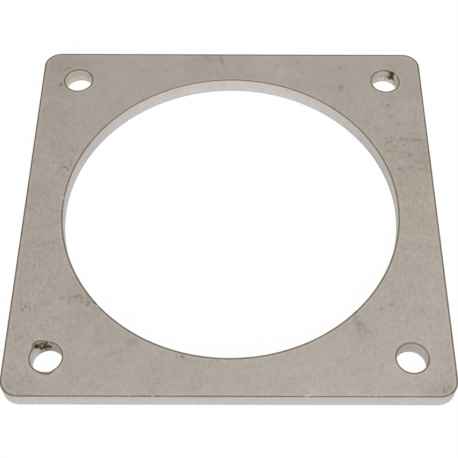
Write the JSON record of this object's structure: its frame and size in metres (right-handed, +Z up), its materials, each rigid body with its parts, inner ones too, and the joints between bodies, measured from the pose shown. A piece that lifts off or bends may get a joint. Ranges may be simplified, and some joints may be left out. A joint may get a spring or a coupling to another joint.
{
  "type": "laser cut steel flange",
  "caption": "Square flat steel flange, laser cut from plate, with rounded corners, a wide round bore and a bolt hole near each corner.",
  "frame": {"origin": "on the bore's axis, level with the underside that the plate lies on", "axes": "+X to the right and +Y to the back along the plate's sides, +Z up along the bore, towards the face where the beam entered"},
  "size_m": [0.2, 0.2, 0.008],
  "materials": {
    "steel": "pickled hot rolled plate with fine rolling grain, a brown heat line along every cut edge and paler cut faces"
  },
  "bodies": {
    "root": {"flange_plate": "steel"}
  },
  "joints": []
}
